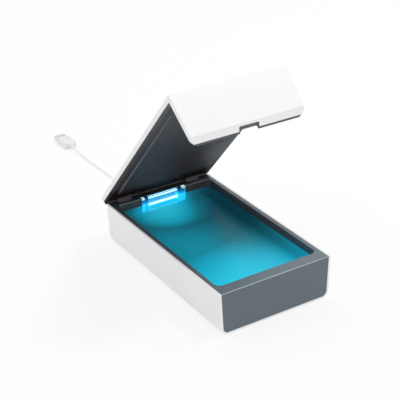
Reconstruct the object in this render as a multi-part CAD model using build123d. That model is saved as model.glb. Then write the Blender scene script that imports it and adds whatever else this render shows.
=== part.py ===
"""Ultraviolet sanitizer box for phones: a shallow tray with a lamp in its rear wall,
under an L-shaped lid whose front apron covers the front of the base when it is shut.

Millimetres, +X right, +Y to the rear, +Z up. The origin is the centre of the base's
flat underside; the feet stand on a table foot_proud below it. The lid stands open, as
it does in use while something is laid in the tray.
"""

import os
from math import cos, pi, radians, sin, tan

from build123d import *

# ------------------------------------------------------------------ driving dimensions
# base
base_width = 115.0          # across the side walls at the rim
base_length = 198.0         # front face to rear face
base_height = 40.5          # flat underside to rim
side_draft = 2.5            # degrees that the sides lean in towards the bottom
shell_wall = 2.0
shell_floor = 1.6
shell_rear_wall = 2.4
shell_corner = 7.0          # rounding along the two lower side edges
shell_end_round = 2.0       # rounding round the rear face
shell_edge_round = 0.5      # top edges of the side walls
fit = 0.15                  # gap between parts that drop into each other

# tray and well
rim_thickness = 2.2
front_plate = 2.5
front_edge_round = 0.8
front_bar = 12.0            # rim in front of the well
rear_ledge = 11.0           # rim behind the well
side_rim = 4.0              # rim beside the well, inside the shell's wall
well_corner = 6.0
well_depth = 15.0
skirt_depth = 7.5           # upper well wall that belongs to the tray
skirt_wall = 1.4
pan_wall = 0.8
pan_round = 1.5
pan_rib_inset = 5.0         # ribs under the pan, in from the well's sides
pan_rib_wall = 1.5
pan_rib_length = 140.0

# lamp
lamp_bay_side_gap = 3.0     # from the bay to the hinge's housing
lamp_bay_depth = 6.2        # from the well's rear edge to the bay's back
bay_wall = 1.2
cover_wall = 1.2
cover_round = 1.0
cover_top_reach = 3.8       # how far the clear cover turns back over the rim
tube_radius = 1.3
tube_sides = 12
tube_pitch = 7.5            # between the tube's two limbs
tube_top_drop = 3.1         # rim to the upper limb's centre
tube_setback = 4.3          # well's rear edge to the tube's centre
tube_end_gap = 2.1          # behind the tube's bend
cap_length = 2.6
holder_length = 8.0
holder_wall = 1.0           # behind the tube's cap
holder_round = 1.0
reflector_sheet = 0.3
reflector_flange = 2.0
reflector_hole = 1.0
reflector_hole_step = 4.0

# hinge
hinge_inset = 2.5           # axis in front of the rear face
hinge_drop = 5.5            # axis below the rim
hinge_side_inset = 19.5     # centre of each lug in from the side
lug_width = 14.0
lug_eye_radius = 3.2
lug_side_gap = 0.5
lug_turn_gap = 1.0          # round the eye inside its pocket
heel_radius = 3.95
heel_width = 8.0
heel_thickness = 2.4
ear_thickness = 3.0
pin_radius = 1.5
pin_running_gap = 0.05
sleeve_wall = 0.75
lid_rear_inset = 2.0        # closed lid's rear end in front of the rear face
lid_open_angle = 48.0
lid_full_angle = 80.0
rear_ease_length = 1.45     # tray's rear edge, cut back where the opening lid passes
rear_ease_drop = 0.5

# lid
lid_side_proud = 0.5        # past the base's side wall
lid_thickness = 8.5
lid_gap = 0.3               # between the closed lid and the rim
lid_band = 4.9              # depth of the white shell's side wall
lid_skin = 2.2
lid_wall = 2.0
lid_edge_round = 1.2
apron_thickness = 6.6
apron_gap = 0.4             # behind the closed apron
apron_face_low = 8.0        # lower edge of the apron's flat face above the underside
apron_low = 1.8             # lowest point of the apron above the underside
apron_corner = 7.0
liner_inset = 0.6
panel_drop = 1.5            # how far the raised inner panel enters the well
panel_gap = 0.7
panel_rear_gap = 2.0
panel_chamfer = 0.8
notch_width = 20.0
notch_top = 6.3             # of the cut in the white shell
notch_corner = 1.0
notch_lip_side = 1.0        # liner that edges the notch, at its sides
notch_lip_top = 1.3         # and above it
rib_height = 1.6
rib_wall = 1.2

# lid switch
magnet_radius = 3.0
magnet_thickness = 1.8
sensor_offset = 20.0        # from the middle, over the front bar
sensor_length = 16.0
sensor_width = 4.0
sensor_board = 1.2
reed_radius = 1.1
reed_length = 14.0

# feet and screws
foot_proud = 0.5
foot_radius = 5.0
foot_recess = 0.6
foot_side_inset = 15.5
foot_end_inset = 21.0
screw_gap = 0.1
screw_shank = 1.25
screw_head = 2.7
screw_head_height = 1.8
screw_length = 16.0
screw_sink = 2.2            # depth of the recess for the head
tower_radius = 3.2
tower_low = 8.0             # where the tray's towers meet the shell's bosses
boss_radius = 4.0
front_tower_inset = 13.5    # in from the side

# circuit board
board_side_gap = 35.0       # base width less the board's
board_length = 64.0
board_thickness = 1.6
board_low = 7.0
board_shift_x = 2.0
board_rear_gap = 14.0       # board's rear edge in front of the rear face
board_screw_inset = 4.0
board_post_width = 6.0
board_screw_shank = 1.0
board_screw_head = 2.0
board_screw_length = 5.0
board_screw_head_height = 1.4
# for each chip: distances from the board's left edge and from its rear edge, and its height
chips = [((8, 20), (59, 47), 2.0), ((30, 38), (59, 53), 1.5), ((52, 58), (55, 51), 1.2)]
can_places = (62.0, 70.0)   # two capacitors, from the board's left edge
can_gap = 41.0              # in front of the board's rear edge
can_radius = 3.0
can_height = 8.0
driver_place = 15.0         # lamp transformer, from the board's left edge
driver_gap = 25.0           # in front of the board's rear edge
driver_width = 22.0
driver_length = 16.0
driver_height = 11.0
driver_leg = 4.0
driver_yoke = 1.2
driver_winding = 4.6
terminal_width = 8.0
terminal_length = 8.0
terminal_rear_gap = 18.0    # behind it to the board's rear edge
clamp_length = 6.0
clamp_rear_gap = 4.0
clamp_wall = 1.4
clamp_screw_offset = 6.2
clamp_screw_length = 3.5

# power button, in the rear wall
button_x = 24.0
button_radius = 4.0
button_gap = 0.2
button_proud = 1.0
button_flange = 1.0
button_flange_thickness = 1.2
button_travel = 0.5
stem_radius = 1.2
switch_size = 6.0
switch_depth = 4.0
plunger_radius = 1.6
plunger_reach = 1.2
plunger_depth = 2.4         # how far it goes into the switch
stem_guide_gap = 3.5        # from the board's rear edge
stem_guide_width = 8.0
stem_guide_length = 1.5
spring_wire = 0.3
spring_radius = 2.2
spring_turns = 3
wire_sides = 4

# cord
cord_diameter = 3.0
cord_x = 9.0
cord_exit_height = 12.0
relief_length = 13.0
relief_flange = 1.4
coil_outer_radius = 23.2
coil_pitch = 3.45           # between turns and between the two layers
coil_turns = 4              # in each layer
coil_sides = 6              # facets round the coiled cord
tie_thickness = 0.8
tie_width = 4.0
tie_gap = 0.1
tie_side_gap = 0.4          # the turns curve inside the strap
plug_length = 24.0
plug_width = 15.5
plug_height = 8.0
plug_neck = 5.0
plug_shell_width = 12.0
plug_shell_height = 4.5
plug_shell_length = 12.0
plug_shell_sheet = 0.4
plug_window = 2.4
plug_window_offset = 2.9

# ------------------------------------------------------------------ derived places
front_y = -base_length / 2
rear_y = base_length / 2
rim = base_height
table = -foot_proud
slope = tan(radians(side_draft))
well_x = base_width / 2 - shell_wall - side_rim
well_front = front_y + front_bar
well_rear = rear_y - rear_ledge
well_floor = rim - well_depth
skirt_low = rim - skirt_depth
pan_low = well_floor - pan_wall
shell_inner_rear = rear_y - shell_rear_wall
bay_back = well_rear + lamp_bay_depth
tube_y = well_rear + tube_setback
tube_high = rim - tube_top_drop
tube_low = tube_high - tube_pitch
hinge_offset = base_width / 2 - hinge_side_inset
hinge_y = rear_y - hinge_inset
hinge_z = rim - hinge_drop
pocket_front = hinge_y - lug_eye_radius - lug_turn_gap
pocket_floor = hinge_z - heel_radius - lug_turn_gap
pocket_half = lug_width / 2 + lug_side_gap
ear_out = pocket_half + ear_thickness
lamp_bay_width = 2 * (hinge_offset - ear_out - lamp_bay_side_gap)
house_low = pocket_floor - ear_thickness / 2
house_front = pocket_front - ear_thickness / 2
lid_half = base_width / 2 + lid_side_proud
lid_top = rim + lid_thickness
lid_low = rim + lid_gap
band_low = lid_top - lid_band
lid_rear = rear_y - lid_rear_inset
apron_inner = front_y - apron_gap
apron_outer = apron_inner - apron_thickness
board_width = base_width - board_side_gap
board_top = board_low + board_thickness
board_rear = rear_y - board_rear_gap
board_front = board_rear - board_length
rear_tower_y = shell_inner_rear - fit - tower_radius - fit
front_tower_x = base_width / 2 - front_tower_inset
front_tower_y = front_y + front_plate + tower_radius + 1.0
foot_offset_x = base_width / 2 - foot_side_inset
foot_offset_y = base_length / 2 - foot_end_inset
cord_radius = cord_diameter / 2
hinge_axis = Axis((0, hinge_y, hinge_z), (1, 0, 0))

nodes = {}


# ------------------------------------------------------------------ shared helpers
def block(x, y, z):
    """A box from three (low, high) pairs."""
    size = [abs(pair[1] - pair[0]) for pair in (x, y, z)]
    centre = [(pair[0] + pair[1]) / 2 for pair in (x, y, z)]
    return Pos(*centre) * Box(*size)


def along_x(outline, start, end):
    """Extrudes a sketch drawn in (y, z) between two x values."""
    plane = Plane(origin=(start, 0, 0), x_dir=(0, 1, 0), z_dir=(1, 0, 0))
    return extrude(plane * outline, amount=end - start)


def along_y(outline, start, end):
    """Extrudes a sketch drawn in (x, z) between two y values."""
    plane = Plane(origin=(0, end, 0), x_dir=(1, 0, 0), z_dir=(0, -1, 0))
    return extrude(plane * outline, amount=end - start)


def along_z(outline, start, end):
    """Extrudes a sketch drawn in (x, y) between two z values."""
    return extrude(Pos(0, 0, start) * outline, amount=end - start)


def polygon(points):
    return make_face(Polyline(*points, close=True))


def rod_x(radius, x, y, z):
    return Pos((x[0] + x[1]) / 2, y, z) * Rot(0, 90, 0) * Cylinder(radius, x[1] - x[0])


def rod_y(radius, x, y, z):
    return Pos(x, (y[0] + y[1]) / 2, z) * Rot(90, 0, 0) * Cylinder(radius, y[1] - y[0])


def rod_z(radius, x, y, z):
    return Pos(x, y, (z[0] + z[1]) / 2) * Cylinder(radius, z[1] - z[0])


def trough(top_half, top, low, corner, inset=0.0):
    """Front outline of a body whose sides lean in: wide at the top, rounded below."""
    def half(z):
        return top_half - (top - z) * slope - inset

    face = polygon([(-half(top), top), (-half(low), low), (half(low), low), (half(top), top)])
    if corner > 0:
        face = fillet(face.vertices().sort_by(Axis.Y)[:2], corner)
    return face


def base_trough(low, high, corner, inset=0.0):
    top_half = base_width / 2 + (high - base_height) * slope
    return trough(top_half, high, low, corner, inset)


def lid_trough(low, high, corner, inset=0.0):
    top_half = lid_half - (lid_top - high) * slope
    return trough(top_half, high, low, corner, inset)


def well_outline(grow=0.0):
    """The well's opening seen from above, made larger by grow."""
    width = 2 * (well_x + grow)
    length = well_rear - well_front + 2 * grow
    middle = (well_front + well_rear) / 2
    return Pos(0, middle) * RectangleRounded(width, length, well_corner + grow)


def screw(shank, length, head, head_height):
    """A pan-head screw, its head's underside at z = 0 and its end at z = -length."""
    body = Pos(0, 0, -length / 2) * Cylinder(shank, length)
    cap = Pos(0, 0, head_height / 2) * Cylinder(head, head_height)
    cap = chamfer(cap.edges().sort_by(Axis.Z)[-1], head_height * 0.3)
    slots = Box(head, head * 0.25, head_height) + Box(head * 0.25, head, head_height)
    return body + cap - Pos(0, 0, head_height) * slots


def opened(shape):
    """Turns a lid piece from the closed pose, in which it is drawn, to the open one."""
    return shape.rotate(hinge_axis, -lid_open_angle)


# ------------------------------------------------------------------ base shell
tower_places = [
    (-front_tower_x, front_tower_y),
    (front_tower_x, front_tower_y),
    (-hinge_offset, rear_tower_y),
    (hinge_offset, rear_tower_y),
]
foot_places = [(x * foot_offset_x, y * foot_offset_y) for x in (-1, 1) for y in (-1, 1)]
board_left = board_shift_x - board_width / 2
board_right = board_shift_x + board_width / 2
board_post_places = [
    (x, y)
    for x in (board_left + board_screw_inset, board_right - board_screw_inset)
    for y in (board_front + board_screw_inset, board_rear - board_screw_inset)
]
board_screw_places = board_post_places[::3]     # two opposite corners
pan_rib_x = well_x - pan_rib_inset
button_z = board_top + switch_size / 2
stem_guide_y = (board_rear + stem_guide_gap, board_rear + stem_guide_gap + stem_guide_length)


def hinge_house(grow):
    """One block that carries the hinge ears, over the lug's pocket and its walls."""
    half = ear_out + grow
    solid = block((-half, half), (house_front - grow, rear_y), (house_low - grow, rim))
    return fillet(solid.edges().filter_by(Axis.X).sort_by(Axis.Y)[-2:].sort_by(Axis.Z)[-1:], shell_end_round)


def make_base_shell():
    outer = along_y(base_trough(0, rim, shell_corner), front_y, rear_y)
    outer = fillet(outer.faces().sort_by(Axis.Y)[-1].edges(), shell_end_round)
    top_sides = outer.edges().filter_by(Axis.Y).group_by(Axis.Z)[-1]
    outer = fillet(top_sides, shell_edge_round)
    cavity = along_y(
        base_trough(shell_floor, rim + 1, shell_corner - shell_wall, shell_wall),
        front_y - 1,
        shell_inner_rear,
    )
    shell = outer - cavity
    for x, y in tower_places:
        shell += rod_z(boss_radius, x, y, (shell_floor / 2, tower_low))
    half = board_post_width / 2
    for x, y in board_post_places:
        shell += block((x - half, x + half), (y - half, y + half), (shell_floor / 2, board_low))
    for side in (-1, 1):
        shell += block(
            (side * pan_rib_x - pan_rib_wall / 2, side * pan_rib_x + pan_rib_wall / 2),
            (-pan_rib_length / 2, pan_rib_length / 2),
            (shell_floor / 2, pan_low),
        )
        slot = block(
            (side * hinge_offset - ear_out - fit, side * hinge_offset + ear_out + fit),
            (shell_inner_rear - 1, rear_y + 1),
            (house_low - fit, rim + 1),
        )
        shell -= slot
    top_half = base_width / 2 - shell_wall
    shell -= block((-top_half, top_half), (shell_inner_rear - 1, rear_y + 1), (rim - rim_thickness - fit, rim + 1))
    shell += block(
        (button_x - stem_guide_width / 2, button_x + stem_guide_width / 2),
        stem_guide_y,
        (shell_floor / 2, button_z + stem_guide_width / 2),
    )
    shell -= rod_y(stem_radius + screw_gap, button_x, (stem_guide_y[0] - 1, stem_guide_y[1] + 1), button_z)
    for x, y in tower_places:
        shell -= rod_z(screw_shank + screw_gap, x, y, (-1, tower_low + 1))
        shell -= rod_z(screw_head + screw_gap, x, y, (-1, screw_sink))
    for x, y in board_screw_places:
        shell -= rod_z(board_screw_shank, x, y, (board_low - board_screw_length, board_low + 1))
    for x, y in foot_places:
        shell -= rod_z(foot_radius + fit, x, y, (-1, foot_recess))
    shell -= rod_y(cord_radius + relief_flange, cord_x, (shell_inner_rear - 1, rear_y + 1), cord_exit_height)
    shell -= rod_y(button_radius + button_gap, button_x, (shell_inner_rear - 1, rear_y + 1), button_z)
    return shell


nodes["base_shell"] = make_base_shell()


# ------------------------------------------------------------------ inner tray
def make_inner_tray():
    inset = shell_wall + fit
    plate = along_y(base_trough(rim - rim_thickness, rim, 0, inset), front_y, rear_y)
    front = along_y(
        base_trough(shell_floor + fit, rim, shell_corner - shell_wall, inset), front_y, front_y + front_plate
    )
    tray = plate + front
    front_top = tray.edges().filter_by(Axis.X).group_by(Axis.Z)[-1].sort_by(Axis.Y)[0]
    tray = fillet(front_top, front_edge_round)
    tray += along_z(well_outline(skirt_wall), skirt_low, rim - rim_thickness / 2)
    bay_half = lamp_bay_width / 2 + bay_wall
    tray += block(
        (-bay_half, bay_half),
        (well_rear + pan_wall + fit, bay_back + bay_wall),
        (well_floor - bay_wall, rim - rim_thickness / 2),
    )
    tray -= along_z(well_outline(), skirt_low - 1, rim + 1)
    tray -= block(
        (-lamp_bay_width / 2, lamp_bay_width / 2),
        (well_rear - 1, bay_back),
        (well_floor, rim - cover_wall),
    )
    tray -= block(
        (-lamp_bay_width / 2, lamp_bay_width / 2),
        (well_rear - 1, well_rear + cover_top_reach + fit),
        (well_floor, rim + 1),
    )
    for side in (-1, 1):
        x = side * hinge_offset
        tray += Pos(x, 0, 0) * hinge_house(0)
        tray -= block(
            (x - pocket_half, x + pocket_half), (pocket_front, rear_y + 1), (pocket_floor, rim + 1)
        )
        sleeve_bore = pin_radius + pin_running_gap + sleeve_wall
        tray -= rod_x(sleeve_bore, (x - ear_out - 1, x + ear_out + 1), hinge_y, hinge_z)
    tray -= along_x(
        polygon([
            (rear_y - rear_ease_length, rim),
            (rear_y, rim - rear_ease_drop),
            (rear_y + 1, rim - rear_ease_drop),
            (rear_y + 1, rim + 1),
            (rear_y - rear_ease_length, rim + 1),
        ]),
        -base_width,
        base_width,
    )
    for x, y in tower_places:
        top = rim - rim_thickness / 2 if y < 0 else pocket_floor - 0.5
        tray += rod_z(tower_radius, x, y, (tower_low, top))
        tray -= rod_z(screw_shank + screw_gap / 2, x, y, (tower_low - 1, screw_sink + screw_length + 1))
    return tray


nodes["inner_tray"] = make_inner_tray()


# ------------------------------------------------------------------ reflector pan
def make_reflector_pan():
    outer = along_z(well_outline(pan_wall), pan_low, skirt_low - fit)
    outer = chamfer(outer.faces().sort_by(Axis.Z)[0].edges(), pan_round)
    hollow = along_z(well_outline(), well_floor, skirt_low + 1)
    hollow = fillet(hollow.faces().sort_by(Axis.Z)[0].edges(), pan_round)
    pan = outer - hollow
    return pan - block(
        (-lamp_bay_width / 2, lamp_bay_width / 2),
        (well_rear - pan_round - pan_wall, well_rear + pan_wall + 1),
        (well_floor, rim),
    )


nodes["reflector_pan"] = make_reflector_pan()


# ------------------------------------------------------------------ lamp
def make_lamp_cover():
    half = lamp_bay_width / 2 - fit
    outline = polygon([
        (well_rear, well_floor),
        (well_rear, rim),
        (well_rear + cover_top_reach, rim),
        (well_rear + cover_top_reach, rim - cover_wall),
        (well_rear + cover_wall, rim - cover_wall),
        (well_rear + cover_wall, well_floor),
    ])
    cover = along_x(outline, -half, half)
    return fillet(cover.edges().filter_by(Axis.X).group_by(Axis.Z)[-1].sort_by(Axis.Y)[0], cover_round)


nodes["lamp_cover"] = make_lamp_cover()

holder_out = lamp_bay_width / 2 - fit
lamp_left = -holder_out + holder_wall + cap_length
lamp_right = holder_out - tube_end_gap - tube_radius - tube_pitch / 2


def make_uv_lamp_tube():
    middle_z = (tube_high + tube_low) / 2
    upper = Line((lamp_left, tube_y, tube_high), (lamp_right, tube_y, tube_high))
    bend = ThreePointArc(
        (lamp_right, tube_y, tube_high),
        (lamp_right + tube_pitch / 2, tube_y, middle_z),
        (lamp_right, tube_y, tube_low),
    )
    lower = Line((lamp_right, tube_y, tube_low), (lamp_left, tube_y, tube_low))
    section = Plane(origin=(lamp_left, tube_y, tube_high), z_dir=(1, 0, 0)) * RegularPolygon(
        tube_radius, tube_sides
    )
    return sweep(section, path=Wire([upper, bend, lower]))


nodes["uv_lamp_tube"] = make_uv_lamp_tube()
nodes["lamp_caps"] = Compound([
    rod_x(tube_radius, (lamp_left - cap_length, lamp_left), tube_y, z) for z in (tube_high, tube_low)
])


def make_lamp_holder(side):
    """A moulded clip at one end of the bay; the right one takes the tube's bend."""
    inner = holder_out - holder_length
    y = (well_rear + cover_wall + fit, bay_back)
    z = (well_floor + fit, rim - cover_wall - fit)
    holder = block(sorted((side * inner, side * holder_out)), y, z)
    holder = fillet(holder.edges().filter_by(Axis.Z).group_by(Axis.Y)[0], holder_round)
    bore = tube_radius + pin_running_gap
    if side < 0:
        for height in (tube_high, tube_low):
            holder -= rod_x(bore, (-holder_out + holder_wall, -inner + 1), tube_y, height)
    else:
        reach = lamp_right + tube_pitch / 2 + bore
        holder -= block(
            (inner - 1, reach), (tube_y - bore, tube_y + bore), (tube_low - bore, tube_high + bore)
        )
    return holder


nodes["lamp_holder_left"] = make_lamp_holder(-1)
nodes["lamp_holder_right"] = make_lamp_holder(1)


def make_lamp_reflector():
    half = holder_out - holder_length - fit
    low = well_floor + fit
    high = rim - cover_wall - fit
    front = bay_back - reflector_flange
    trough_outline = block((-half, half), (front, bay_back), (low, high))
    inside = block((-half - 1, half + 1), (front - 1, bay_back - reflector_sheet),
                   (low + reflector_sheet, high - reflector_sheet))
    sheet = trough_outline - inside
    middle_z = (tube_high + tube_low) / 2
    count = int(2 * (half - 2) / reflector_hole_step)
    for i in range(count + 1):
        x = (i - count / 2) * reflector_hole_step
        hole = Pos(x, middle_z) * RegularPolygon(reflector_hole / 2, 6)
        sheet -= along_y(hole, front, bay_back + 1)
    return sheet


nodes["lamp_reflector"] = make_lamp_reflector()


# ------------------------------------------------------------------ electronics
def make_main_board():
    board = block((board_left, board_right), (board_front, board_rear), (board_low, board_top))
    for x, y in board_screw_places:
        board -= rod_z(board_screw_shank + screw_gap, x, y, (board_low - 1, board_top + 1))
    for places, gaps, height in chips:
        x = [board_left + place for place in places]
        board += block(x, [board_rear - gap for gap in gaps], (board_top, board_top + height))
    for place in can_places:
        can_y = board_rear - can_gap
        board += rod_z(can_radius, board_left + place, can_y, (board_top, board_top + can_height))
    return board


nodes["main_board"] = make_main_board()


def make_lamp_driver():
    driver_x = board_left + driver_place
    driver_y = board_rear - driver_gap
    x = (driver_x - driver_width / 2, driver_x + driver_width / 2)
    y = (driver_y - driver_length / 2, driver_y + driver_length / 2)
    core = block(x, y, (board_top, board_top + driver_height))
    inside = (x[0] + driver_leg, x[1] - driver_leg)
    window = block(inside, (y[0] - 1, y[1] + 1),
                   (board_top + driver_yoke, board_top + driver_height - driver_yoke))
    return core - window + rod_x(driver_winding, inside, driver_y, board_top + driver_height / 2)


nodes["lamp_driver"] = make_lamp_driver()
nodes["board_screws"] = Compound([
    Pos(x, y, board_top)
    * screw(board_screw_shank, board_screw_length, board_screw_head, board_screw_head_height)
    for x, y in board_screw_places
])

terminal_y = (board_rear - terminal_rear_gap - terminal_length, board_rear - terminal_rear_gap)
terminal = block((cord_x - terminal_width / 2, cord_x + terminal_width / 2), terminal_y,
                 (board_top, cord_exit_height + cord_diameter))
nodes["cord_terminal"] = fillet(terminal.edges().filter_by(Axis.Z), 0.8)

clamp_y = (board_rear - clamp_rear_gap - clamp_length, board_rear - clamp_rear_gap)
clamp_screw_places = [(cord_x + side * clamp_screw_offset, sum(clamp_y) / 2) for side in (-1, 1)]


def make_cable_clamp():
    """A saddle over the cord, with a foot on each side that a screw holds down."""
    half = cord_radius + clamp_wall
    foot_half = clamp_screw_offset + board_screw_head + screw_gap
    saddle = block((cord_x - half, cord_x + half), clamp_y, (board_top, cord_exit_height + half))
    saddle = fillet(saddle.edges().filter_by(Axis.Y).group_by(Axis.Z)[-1], cord_radius)
    clamp = saddle + block(
        (cord_x - foot_half, cord_x + foot_half), clamp_y, (board_top, board_top + clamp_wall)
    )
    past = (clamp_y[0] - 1, clamp_y[1] + 1)
    clamp -= rod_y(cord_radius, cord_x, past, cord_exit_height)
    clamp -= block((cord_x - cord_radius, cord_x + cord_radius), past, (board_top - 1, cord_exit_height))
    for x, y in clamp_screw_places:
        clamp -= rod_z(board_screw_shank + screw_gap, x, y, (board_top - 1, board_top + clamp_wall + 1))
    return clamp


nodes["cable_clamp"] = make_cable_clamp()
for x, y in clamp_screw_places:
    nodes["main_board"] -= rod_z(board_screw_shank + screw_gap / 2, x, y, (board_low - 1, board_top + 1))
nodes["clamp_screws"] = Compound([
    Pos(x, y, board_top + clamp_wall)
    * screw(board_screw_shank, clamp_screw_length, board_screw_head, board_screw_head_height)
    for x, y in clamp_screw_places
])

sensor_y = front_y + front_bar / 2
sensor_top = rim - rim_thickness
nodes["reed_sensor"] = (
    block((sensor_offset - sensor_length / 2, sensor_offset + sensor_length / 2),
          (sensor_y - sensor_width / 2, sensor_y + sensor_width / 2), (sensor_top - sensor_board, sensor_top))
    + rod_x(reed_radius, (sensor_offset - reed_length / 2, sensor_offset + reed_length / 2),
            sensor_y, sensor_top - sensor_board - reed_radius * 0.8)
)

# ------------------------------------------------------------------ power button
switch_y = (board_rear - switch_depth, board_rear)
switch_body = block((button_x - switch_size / 2, button_x + switch_size / 2), switch_y,
                    (board_top, board_top + switch_size))
switch_body = fillet(switch_body.edges().filter_by(Axis.Y), 0.5)
nodes["button_switch"] = switch_body - rod_y(
    plunger_radius + pin_running_gap, button_x, (board_rear - plunger_depth, board_rear + 1), button_z
)
plunger_front = board_rear - plunger_depth + button_travel + 0.2
plunger_y = (plunger_front, board_rear + plunger_reach)
nodes["switch_plunger"] = rod_y(plunger_radius, button_x, plunger_y, button_z)


def make_power_button():
    """A cap that pokes through the rear wall, a flange behind it and a stem to the switch."""
    face = rear_y + button_proud
    cap = rod_y(button_radius, button_x, (shell_inner_rear - fit, face), button_z)
    cap = chamfer(cap.edges().sort_by(Axis.Y)[-1], 0.4)
    flange_rear = shell_inner_rear - fit
    flange = rod_y(button_radius + button_flange, button_x,
                   (flange_rear - button_flange_thickness, flange_rear), button_z)
    stem = rod_y(stem_radius, button_x, (board_rear + plunger_reach, flange_rear), button_z)
    return cap + flange + stem


nodes["power_button"] = make_power_button()


def helix_path(radius, pitch, turns, start):
    """Half turns of tangent arcs that wind along +Y from a place beside the start."""
    edges = []

    def place(i):
        return Vector(start[0] + radius * cos(i * pi), start[1] + pitch * i / 2, start[2])

    def heading(i):
        return Vector(0, pitch / (2 * pi), radius * cos(i * pi)).normalized()

    for i in range(2 * turns):
        edges += biarc(place(i), heading(i), place(i + 1), heading(i + 1))
    return edges


def biarc(start, start_dir, end, end_dir):
    """Two arcs that join two points, tangent to a direction at each and to each other."""
    chord = end - start
    total = start_dir + end_dir
    along = chord.dot(total)
    turn = 2 * (1 - start_dir.dot(end_dir))
    length = (-along + (along**2 + turn * chord.dot(chord)) ** 0.5) / turn
    joint = (start + end + (start_dir - end_dir) * length) * 0.5
    first = TangentArc(start, joint, tangent=start_dir)
    second = TangentArc(joint, end, tangent=first % 1)
    return [first, second]


spring_end = shell_inner_rear - fit - button_flange_thickness
spring_span = (stem_guide_y[1] + spring_wire, spring_end - spring_wire)
spring_pitch = (spring_span[1] - spring_span[0]) / spring_turns


def make_button_spring():
    path = helix_path(spring_radius, spring_pitch, spring_turns, (button_x, spring_span[0], button_z))
    first = path[0]
    section = Plane(origin=first @ 0, z_dir=first % 0) * RegularPolygon(spring_wire, wire_sides)
    return sweep(section, path=Wire(path))


nodes["button_spring"] = make_button_spring()

# ------------------------------------------------------------------ feet and screws
foot = Pos(0, 0, (foot_recess - foot_proud) / 2) * Cylinder(foot_radius, foot_recess + foot_proud)
foot = chamfer(foot.edges().sort_by(Axis.Z)[0], foot_proud * 0.5)
nodes["rubber_feet"] = Compound([Pos(x, y, 0) * foot for x, y in foot_places])
nodes["bottom_screws"] = Compound([
    Pos(x, y, screw_sink) * Rot(180, 0, 0)
    * screw(screw_shank, screw_length, screw_head, screw_head_height)
    for x, y in tower_places
])

# ------------------------------------------------------------------ hinge
sleeve_radius = pin_radius + pin_running_gap
sleeves = []
for side in (-1, 1):
    for end in (-1, 1):
        x = sorted((side * hinge_offset + end * pocket_half, side * hinge_offset + end * ear_out))
        sleeve = rod_x(sleeve_radius + sleeve_wall, x, hinge_y, hinge_z)
        sleeves.append(sleeve - rod_x(sleeve_radius, (x[0] - 1, x[1] + 1), hinge_y, hinge_z))
nodes["hinge_sleeves"] = Compound(sleeves)
for name, side in (("hinge_pin_left", -1), ("hinge_pin_right", 1)):
    x = side * hinge_offset
    pin = rod_x(pin_radius, (x - ear_out, x + ear_out), hinge_y, hinge_z)
    nodes[name] = opened(pin)


# ------------------------------------------------------------------ lid shell
def bevel_cutter():
    """Everything outside the 45 degree bevel along the apron's lower edge."""
    low = apron_low - 10
    reach = apron_face_low - low
    points = [(apron_outer - 1, apron_face_low + 1), (apron_outer + reach, low), (apron_outer - 1, low)]
    return along_x(polygon(points), -base_width, base_width)


def notch_cutter(y, side=0.0, above=0.0):
    """The finger notch in the apron's lower edge, made smaller at its sides and its top."""
    top = notch_top - above
    height = top - apron_low + 10
    outline = Pos(0, top - height / 2) * RectangleRounded(notch_width - 2 * side, height, notch_corner)
    return along_y(outline, y[0], y[1])


def make_lid_shell():
    panel = along_y(lid_trough(band_low, lid_top, 0), apron_outer, lid_rear)
    apron = along_y(lid_trough(apron_low, lid_top, apron_corner), apron_outer, apron_outer + lid_band)
    shell = panel + apron
    top_edges = shell.faces().sort_by(Axis.Z)[-1].edges()
    shell = fillet(top_edges, lid_edge_round)
    shell -= bevel_cutter()
    shell -= along_y(
        lid_trough(band_low - 1, lid_top - lid_skin, 0, lid_wall), apron_outer + lid_skin, lid_rear - lid_wall
    )
    shell -= along_y(
        lid_trough(apron_face_low + 1, lid_top - lid_skin, apron_corner - lid_wall, lid_wall),
        apron_outer + lid_skin,
        apron_outer + lid_band + 1,
    ) - along_y(
        lid_trough(band_low, lid_top, 0), apron_outer + lid_band, apron_outer + lid_band + 2
    )
    return shell - notch_cutter((apron_outer - 1, apron_outer + lid_band + 1))


nodes["lid_shell"] = opened(make_lid_shell())


# ------------------------------------------------------------------ lid liner
def make_lug(x):
    """Hinge lug: an eye round the pin, a web up to the liner and a heel that stops the lid."""
    lug = rod_x(lug_eye_radius, (x - lug_width / 2, x + lug_width / 2), hinge_y, hinge_z)
    lug += block(
        (x - lug_width / 2, x + lug_width / 2), (hinge_y - lug_eye_radius, lid_rear), (hinge_z, band_low)
    )
    heel = block(
        (x - heel_width / 2, x + heel_width / 2),
        (hinge_y - heel_thickness / 2, hinge_y + heel_thickness / 2),
        (hinge_z - heel_radius, hinge_z),
    )
    heel = heel.rotate(Axis((0, hinge_y, hinge_z), (1, 0, 0)), 90 - lid_full_angle)
    lug += heel
    return lug - rod_x(pin_radius, (x - lug_width, x + lug_width), hinge_y, hinge_z)


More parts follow.
